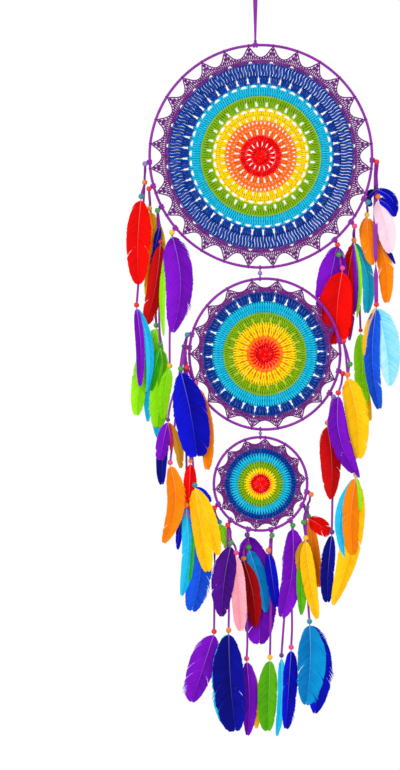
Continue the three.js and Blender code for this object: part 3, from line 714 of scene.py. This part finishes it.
def arches(inner, outer, count, width, start):
    """Single loops, one over each opening."""
    share = np.linspace(0, 1, 9)
    rise = inner + (outer - inner) * np.sin(math.pi * share) ** 0.7
    spread = (share - 0.5) * width / inner
    # Each loop is painted in full light, with a little painted highlight.
    return [yarn(around_middle(rise, start + 2 * math.pi * k / count + spread, -0.8), 0.75, 1.05)
            for k in range(count)]


def net(inner, outer, count, thick):
    """Crossed single loops, a close fishnet."""
    turn = 2 * math.pi / count
    return [length for k in range(count) for lean in (-0.5, 0.5)
            for length in post(inner, outer, k * turn, (k + lean) * turn, thick)]


foot_band, foot_stitch, chain_stitch, lace_stitch, short_of_edge = 3.4, 3.4, 3.1, 2.8, 0.8
hoop_clear, edge_thick, inset_thick = 0.2, 0.95, 0.8
loop_section = [(0, -0.5), (0.4, -0.45), (0.5, 0.1), (0.3, 0.55), (0, 0.5)]


def lace(radius, inner, points_round, first, shoulder, arch, gap, thick):
    """Edging: posts that rise to concave arches and run together into points tied round the hoop. Each
    point has an opening at its foot."""
    reach = radius - wrap_radius - hoop_clear
    turn = 2 * math.pi / points_round
    band = inner + foot_band
    lengths = fans(inner, band - short_of_edge, points_round,
                   max(5, round(turn * inner / foot_stitch)), gap, gap * 0.3, first, fill=0.55)
    lengths += chain(band, round(2 * math.pi * band / chain_stitch))
    each = max(7, round(turn * band / lace_stitch))
    places = [0, 0.04, 0.1, 0.19, 0.29, 0.4, 0.5]
    heights = [reach, reach - 1.0, reach * 0.6 + shoulder * 0.4, shoulder + 1,
               (shoulder + arch) / 2, arch + 0.5, arch]
    along = np.array([-place for place in places[:0:-1]] + places)
    edge = np.interp(abs(along), places, heights)
    for k in range(points_round):
        middle = first + k * turn
        for n in range(each):
            share = (n + 0.5) / each - 0.5
            far = np.interp(abs(share), places, heights) - short_of_edge
            lean = np.interp(abs(share), [0, 0.14, 0.26, 0.5], [0.4, 0.6, 0.8, 1.0])
            lengths += post(band + 0.6, far, middle + share * turn, middle + share * lean * turn, thick)
        angle = middle + along * turn
        route = around_middle(edge, angle, -0.5)
        inset = around_middle((edge + band) / 2, angle, -0.7)
        # Painted light and shade: the edge nearly in full light, the length behind it darker, as in
        # shade, the inset and the loop round the hoop between.
        lengths.append(yarn(route, edge_thick, tone=0.9))
        lengths.append(yarn(route + np.array([0, 1.0, 0]), inset_thick, tone=0.6))
        lengths.append(yarn(inset, inset_thick, tone=0.8))
        tangent = np.array([math.cos(middle), 0, -math.sin(middle)])
        points, faces = ring_round(around_middle(radius, middle), tangent, 2.0, loop_section, 12)
        lengths.append((points, faces, np.full(len(points), 0.8)))
    return lengths


# Stitches start at a point of the lace, or half a stitch on from it.
point = math.radians(6.43)
yellow_lobe, cyan_lobe = point + math.pi / 32, point + math.pi / 44
big_rounds = {
    "red": posts(0.9, 12.2, 18) + chain(12.6, 27) + fans(13.2, 19.4, 16, 2, 0.8, 1.7, point)
        + posts(20, 27.2, 50) + chain(27.8, 58),
    "orange": fans(28.6, 36.6, 24, 3, 1.6, 1.8, point) + chain(37.2, 78)
        + net(37.6, 47, 52, thick=1.45) + chain(47.4, 98),
    "yellow": fans(48.2, 54.4, 32, 3, 2.0, 1.3, yellow_lobe, bulge=0.8)
        + fans(54.4, 60.4, 32, 4, 0.4, 0.9, yellow_lobe, fill=0.5, bulge=1.2, backs=2)
        + fans(60.2, 64.6, 32, 2, 6.4, 8.4, yellow_lobe, fill=0.5)
        + arches(60.2, 65.4, 32, 10.2, yellow_lobe),
    "green": chain(65.6, 134) + fans(66.2, 74, 32, 4, 4.4, 1.2, point) + posts(73.8, 79.4, 138)
        + chain(80, 162),
    "cyan": posts(80.8, 87.2, 164, foot=0.6) + posts(87.2, 92.4, 176)
        + fans(92.4, 96.4, 44, 2, 6.4, 8.2, cyan_lobe) + arches(92.2, 97.2, 44, 10, cyan_lobe),
    "blue": chain(97.2, 196) + fans(97.8, 108, 44, 4, 5.4, -0.8, point, fill=0.5)
        + waves(107.8, 123.2, 176, fill=0.95, sway=0.2) + chain(123.8, 250),
    "purple": lace(big_radius, 125, 28, point, shoulder=137.5, arch=132.5, gap=8.5, thick=1.12),
}
point = math.radians(10)
ray = point + math.pi / 24
middle_rounds = {
    "red": posts(0.9, 12.6, 18) + chain(13.4, 28)
        + posts(14, 21.4, 24, fill=0.36, start=point, bulge=0.8, foot=2.0),
    "orange": posts(15.4, 23.8, 24, fill=0.4, start=ray, bulge=0.2, foot=1.0)
        + posts(20.6, 23.8, 24, start=point, bulge=0.2, foot=0.6)
        + fans(23, 33.6, 24, 1, 0, 0, ray, fill=0.2, bulge=-0.6, foot=1.0, backs=0),
    "yellow": fans(24.2, 34.4, 24, 2, 1.7, 1.0, point, bulge=0.9, foot=2.6)
        + fans(34, 42.6, 24, 3, 0.4, 0.9, point, bulge=0.7, foot=2.0, backs=2)
        + fans(42.6, 49.6, 24, 1, 0, 0, ray, fill=0.06, backs=0),
    "green": fans(43, 50.4, 24, 4, 1.1, 0.2, point) + posts(50, 54.6, 104) + chain(55, 114),
    "cyan": posts(55.6, 62.2, 118, foot=0.6) + posts(62.2, 70.6, 130),
    "blue": fans(71, 82, 28, 4, 4.2, -1.6, point, bulge=0.8) + chain(82.8, 168),
    "purple": lace(middle_radius, 84, 18, point, shoulder=92, arch=88.5, gap=4.5, thick=1.0),
}
point = math.radians(6)
small_rounds = {
    "red": posts(0.9, 13, 22) + chain(13.5, 28),
    "yellow": posts(14.2, 22, 32, foot=1.5),
    "green": posts(22.2, 31, 50, foot=1.7),
    "cyan": posts(31, 41, 66, foot=1.7),
    "blue": posts(40.6, 47.2, 66, fill=0.42, start=math.pi / 66, bulge=0.6, foot=2.4) + chain(47.8, 98),
    "purple": lace(small_radius, 49, 14, point, shoulder=55.5, arch=53, gap=2.0, thick=0.92),
}
for hoop, rounds in (("big", big_rounds), ("middle", middle_rounds), ("small", small_rounds)):
    x, z, _ = hoops[hoop]
    for colour, lengths in rounds.items():
        parts = [(points + np.array([x, 0, z]), faces) for points, faces, _ in lengths]
        made = piece(f"{hoop}_mandala_{colour}", parts, [yarns[colour]], f"{hoop}_hoop",
                     bend=80, tones=np.concatenate([part[2] for part in lengths]))
        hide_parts(f"{hoop}_mandala")

# Beads: turned beech, bored through and dipped in gloss paint. They are threaded on the ribbon ends,
# a neck bead under each tie and the others down the strand, where the ribbon's grip holds them.
bead_dyes = {"red": "#E80A14", "orange": "#F87C08", "yellow": "#FFC808", "green": "#2C9A24",
             "teal": "#0A8E9E", "pink": "#F43C8C", "purple": "#54207C", "lilac": "#8E74C4"}
bead_section = [(1.0, 2.9), (1.35, 3.3), (2.0, 3.25), (2.85, 2.55), (3.5, 1.35), (3.75, 0.0),
                (3.5, -1.35), (2.85, -2.55), (2.0, -3.25), (1.35, -3.3), (1.0, -2.9)]
bead_corners, lean_side, lean_front = 18, 0.2, 0.15


# Painted wood under a thin coat: one even colour, a small sharp highlight, and faint grain that shows
# through as a relief.
def painted(name, dye):
    finish, tree, surface = new_finish(
        f"{name}_painted_beech", 0.3, Specular_IOR_Level=0.3, Coat_Weight=0.5, Coat_Roughness=0.1)
    deep = tuple(0.8 * c for c in linear(dye)[:3]) + (1.0,)
    _, grain, _ = drifting(tree, surface, 1.2 * mm, deep, linear(dye), detail=3, stretch=(1, 1, 0.2))
    raised(tree, surface, grain, strength=0.2, distance=0.1 * mm)
    return finish


paints = {name: painted(name, dye) for name, dye in bead_dyes.items()}


def threaded_bead(place, size, axis=(0, 0, 1)):
    section = [(out * size, along * size) for out, along in bead_section]
    return ring_round(place, axis, 0.0, section, bead_corners)


for name, clock, depth, neck_dye, ends in strands:
    knot = knot_of(name, clock)
    rng = random.Random(f"{name} beads")
    strung = [(*neck_of(clock), neck_dye, 1.0)] + [bead for _, beads, _ in ends for bead in beads]
    used = sorted({dye for _, _, dye, _ in strung})
    parts = []
    for side, drop, dye, size in strung:
        tilt = (rng.uniform(-lean_side, lean_side), rng.uniform(-lean_front, lean_front), 1)
        parts.append((*threaded_bead(hang(knot, depth, side, drop, 0.0), size, tilt), used.index(dye)))
    piece(f"{name}_beads", parts, [paints[dye] for dye in used], name, bend=50)

# Links: a lilac bead on a doubled satin cord, which is looped round the hoop above and the hoop below
# it, so that the lower hoop swings from the upper one.
cord_radius, cord_apart, cord_loop = 0.55, 0.6, 2.3
from_wire, into_bead, pinch = 2.8, 1.5, 0.6
cord_section = [(cord_radius + cord_radius * math.cos(turn), cord_radius * math.sin(turn))
                for turn in full_turn(8)]
for name, (x, top), drop, size, body in (
        ("upper_link", upper_link, upper_link_drop, 0.87, "middle_hoop"),
        ("lower_link", lower_link, lower_link_drop, 0.67, "small_hoop")):
    middle = np.array([x, 0, top - drop / 2])
    parts = [(*threaded_bead(middle, size), 0)]
    for end, sign in ((top, -1), (top - drop, 1)):
        for shift in (-cord_apart, cord_apart):
            parts.append((*ring_round((x + shift, 0, end), (1, 0, 0), cord_loop, cord_section, 20), 1))
            foot = np.array([x + shift, 0, end + sign * from_wire])
            inner = middle + np.array([shift * pinch, 0, -sign * into_bead])
            stem = foot + (inner - foot) * np.linspace(0, 1, 4)[:, None]
            parts.append((*ply(stem, [cord_radius, cord_radius, 0.5, 0.5], 6), 1))
    link = piece(f"{name}_bead_and_cord", parts, [paints["lilac"], satin], body, bend=50)
    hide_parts(name)

# Feathers: dyed hen and turkey feathers, their quills stuck in the bead above them. Barbs lie close
# along the shaft, part in places, and are loose and downy at the foot.
feather_dyes = {
    "red": ("#D00000", "#FF0A04"), "crimson": ("#9C0206", "#D80A0C"), "wine": ("#780004", "#B00408"),
    "orange": ("#E87000", "#FF920C"), "yellow": ("#EEAC00", "#FFD414"), "ochre": ("#A86C04", "#D09414"),
    "lime": ("#78D000", "#A4F818"), "leaf": ("#3E9406", "#6CC414"), "green": ("#1F8C08", "#3CBE18"),
    "teal": ("#0888A8", "#18B4D4"), "azure": ("#0064AC", "#089CDC"), "cyan": ("#04A4D4", "#28CCF4"),
    "ice": ("#70D4F0", "#C4F8FF"), "blue": ("#030384", "#0C12DC"), "royal": ("#0838B0", "#1860F0"),
    "navy": ("#04045C", "#0C10A4"), "purple": ("#5C069C", "#8A12D4"), "violet": ("#300664", "#5C109C"),
    "pink": ("#EC90A4", "#FFB8C4"), "blush": ("#F2C8DC", "#FFE8F2"), "magenta": ("#8C0A4C", "#BC1868")}


# Dyed keratin: deeper colour towards the shaft and along each barb's edge, and the shaft itself, which
# takes less dye, as a pale line. Painted light and shade lie over it: one half of each vane is lighter.
def plumage(name, deep, bright):
    finish, tree, surface = new_finish(f"{name}_dyed_feather", 0.55, Specular_IOR_Level=0.05)
    colour, *_ = drifting(tree, surface, 12 * mm, linear(deep), linear(bright), detail=3, sway=0.6)
    tone = add_node(tree, "Attribute", attribute_name="tone")["Fac"]
    horn = add_node(tree, "Math", operation="SUBTRACT", use_clamp=True, inputs={0: tone, 1: 1.0})[0]
    colour_between(tree, surface, horn, colour, linear("#FFF4F0"))
    return finish


plumes = {name: plumage(name, *pair) for name, pair in feather_dyes.items()}
vane_place = [0, 0.03, 0.07, 0.13, 0.24, 0.42, 0.62, 0.8, 0.91, 0.97, 1.0]
blunt_vane = np.array([0.08, 0.3, 0.6, 0.82, 0.96, 1.0, 0.97, 0.84, 0.62, 0.4, 0.14])
sharp_vane = np.array([0.08, 0.3, 0.66, 0.88, 1.0, 0.98, 0.84, 0.58, 0.34, 0.16, 0.04])
shaft_places, shaft_end, shaft_sides = 14, 0.96, 5
barb_pitch, barbs_most, first_barb, last_barb = 1.0, 90, 0.025, 0.985
to_ridge, blade_tilt = np.array([0, -0.3, 0]), 0.16
barb_slant, down_slant, fray_length, parting_reach = 1.1, 0.4, 0.09, 3.0
vane_light, side_light, uneven_light = 0.45, 0.2, 0.18
# A barb is drawn at four stations from its root to its end, three points at each. It leaves the shaft
# at a slant and bends on towards the tip.
barb_stations = np.array([0.0, 0.35, 0.75, 1.0])
barb_widths = np.array([1.05, 1.1, 1.05, 0.7])
barb_fraying = np.array([0, 0, 0.15, 0.8])
barb_light = np.array([-0.2, 0, 0.1, 0.15])
barb_bend = 2 * barb_stations * (1 - barb_stations)
barb_out = barb_bend * 0.62 + barb_stations**2
barb_on = barb_bend * 0.28 + barb_stations**2
barb_points = 3 * len(barb_stations)
barb_faces = [(0, 1, 2), (11, 10, 9)] + [(ring + b, ring + a, ring + 3 + a, ring + 3 + b)
                                         for ring in (0, 3, 6) for a, b in ((0, 1), (1, 2), (2, 0))]


def feather(knot, depth, start, tip, width, bow, lift, rng):
    """Shaft and barbs of one feather: points, faces and a tone for each point."""
    start, tip = np.array(start, float), np.array(tip, float)
    long = float(np.linalg.norm(tip - start))
    along = (tip - start) / long
    vane_width = blunt_vane + (sharp_vane - blunt_vane) * rng.uniform(0, 1)

    def spine(share):
        swing = bow * long * np.sin(math.pi * share)
        side = start[0] + along[0] * long * share + along[1] * swing
        drop = start[1] + along[1] * long * share - along[0] * swing
        forward = lift if lift == behind else lift * eased(long * share, 0, 8)
        return hang(knot, depth, side, drop, forward)

    shares = np.linspace(0, shaft_end, shaft_places)
    thick = np.interp(shares, [0, 0.1, 1], [0.75, 0.55, 0.12])
    shaft, faces = ply(spine(shares) + to_ridge, thick, shaft_sides)
    points, base = [shaft], len(shaft)
    tones = [np.repeat(np.interp(shares, [0, 0.6, 1], [1.14, 1.06, 1.0]), shaft_sides)]
    pitch = max(barb_pitch, long / barbs_most)
    root = np.arange(first_barb, last_barb, pitch / long)
    count = len(root)
    balance = rng.uniform(0.42, 0.58)
    down = rng.choice([0.04, 0.06, 0.08, 0.12])
    lit_side = rng.choice([-1, 1])
    for hand, portion in ((-1, balance), (1, 1 - balance)):
        jitter = np.array([rng.uniform(-1, 1) for _ in range(count)])
        half = width * portion * np.interp(root, vane_place, vane_width)
        half = width * portion * np.interp(root + 0.4 * half / long, vane_place, vane_width)
        # Loose down at the foot, and perhaps one frayed stretch further on.
        downy = np.clip(1.5 - root / down, 0, 1)
        fray = rng.choice([0, 0.5, 1])
        stretch = fray * np.exp(-(((root - rng.uniform(0.1, 0.8)) / rng.uniform(0.06, 0.14)) ** 2))
        frayed = np.maximum(downy, stretch)
        half = half * (1 + 0.02 * jitter) + frayed * fray_length * width * np.abs(jitter)
        on = half * (barb_slant - down_slant * downy)
        # Where the vane is parted, the barbs lean away from each other.
        for _ in range(rng.choice([0, 1, 1, 2, 2])):
            gap = np.arange(count) - rng.uniform(0.3, 0.85) * count
            parted = np.sign(gap) * np.exp(-np.abs(gap) / parting_reach)
            on = on + parted * pitch * rng.uniform(0.4, 1.3)
            half = half * (1 - 0.05 * np.abs(parted))
        camber = rng.uniform(-0.2, 1.2)
        on = np.minimum(on, (1.0 - root) * long * 1.02 + 0.6)
        here = spine(root)
        run = unit((spine(np.minimum(root + 0.01, 1.0)) - here) * (1, 0, 1))
        out = np.cross(run, (0, 1, 0)) * hand
        line = (here[:, None] + half[:, None, None] * barb_out[None, :, None] * out[:, None]
                + on[:, None, None] * barb_on[None, :, None] * run[:, None])
        loose = (0.05 + downy * 0.4) * jitter
        line[:, :, 1] += camber * barb_out**2 + loose[:, None] * barb_stations
        flat = unit(np.cross(np.gradient(line, axis=1), (0, 1, 0))) * hand
        flat[:, :, 1] = blade_tilt
        blade = flat * (pitch * barb_widths * (1 - frayed[:, None] * barb_fraying))[:, :, None] / 2
        points.append(np.stack([line + blade, line + to_ridge, line - blade], axis=2).reshape(-1, 3))
        # Painted light and shade: one half of the vane lighter than the other. Each barb is also darker
        # at its root, lighter towards its end, and a little lighter or darker at random.
        shade = vane_light + side_light * hand * lit_side + uneven_light * jitter[:, None] + barb_light
        tones.append(np.repeat(np.minimum(shade, 0.98), 3))
        pattern = barb_faces if hand < 0 else [face[::-1] for face in barb_faces]
        for n in range(count):
            first = base + n * barb_points
            faces += [tuple(first + i for i in face) for face in pattern]
        base += count * barb_points
    return np.concatenate(points), faces, np.concatenate(tones)


quill_depth = 0.6
for name, clock, depth, _, ends in strands:
    knot = knot_of(name, clock)
    for number, (end_name, beads, feathers) in enumerate(ends):
        rng = random.Random(f"{name} {end_name} {number} feathers")
        side, drop = beads[-1][:2] if beads else neck_of(clock)
        used = sorted({dye for *_, dye in feathers})
        parts, tones = [], []
        for *tip, width, bow, lift, dye in feathers:
            start = (side, drop + (0 if lift == behind else bead_size / 2 - quill_depth))
            points, faces, shade = feather(knot, depth, start, tip, width, bow, lift, rng)
            parts.append((points, faces, used.index(dye)))
            tones.append(shade)
        node = f"{name}_{end_name}_feathers"
        made = piece(f"{name}_{end_name}_{number}_plumes", parts, [plumes[dye] for dye in used], name,
                     bend=60, tones=np.concatenate(tones))
        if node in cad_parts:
            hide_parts(node)
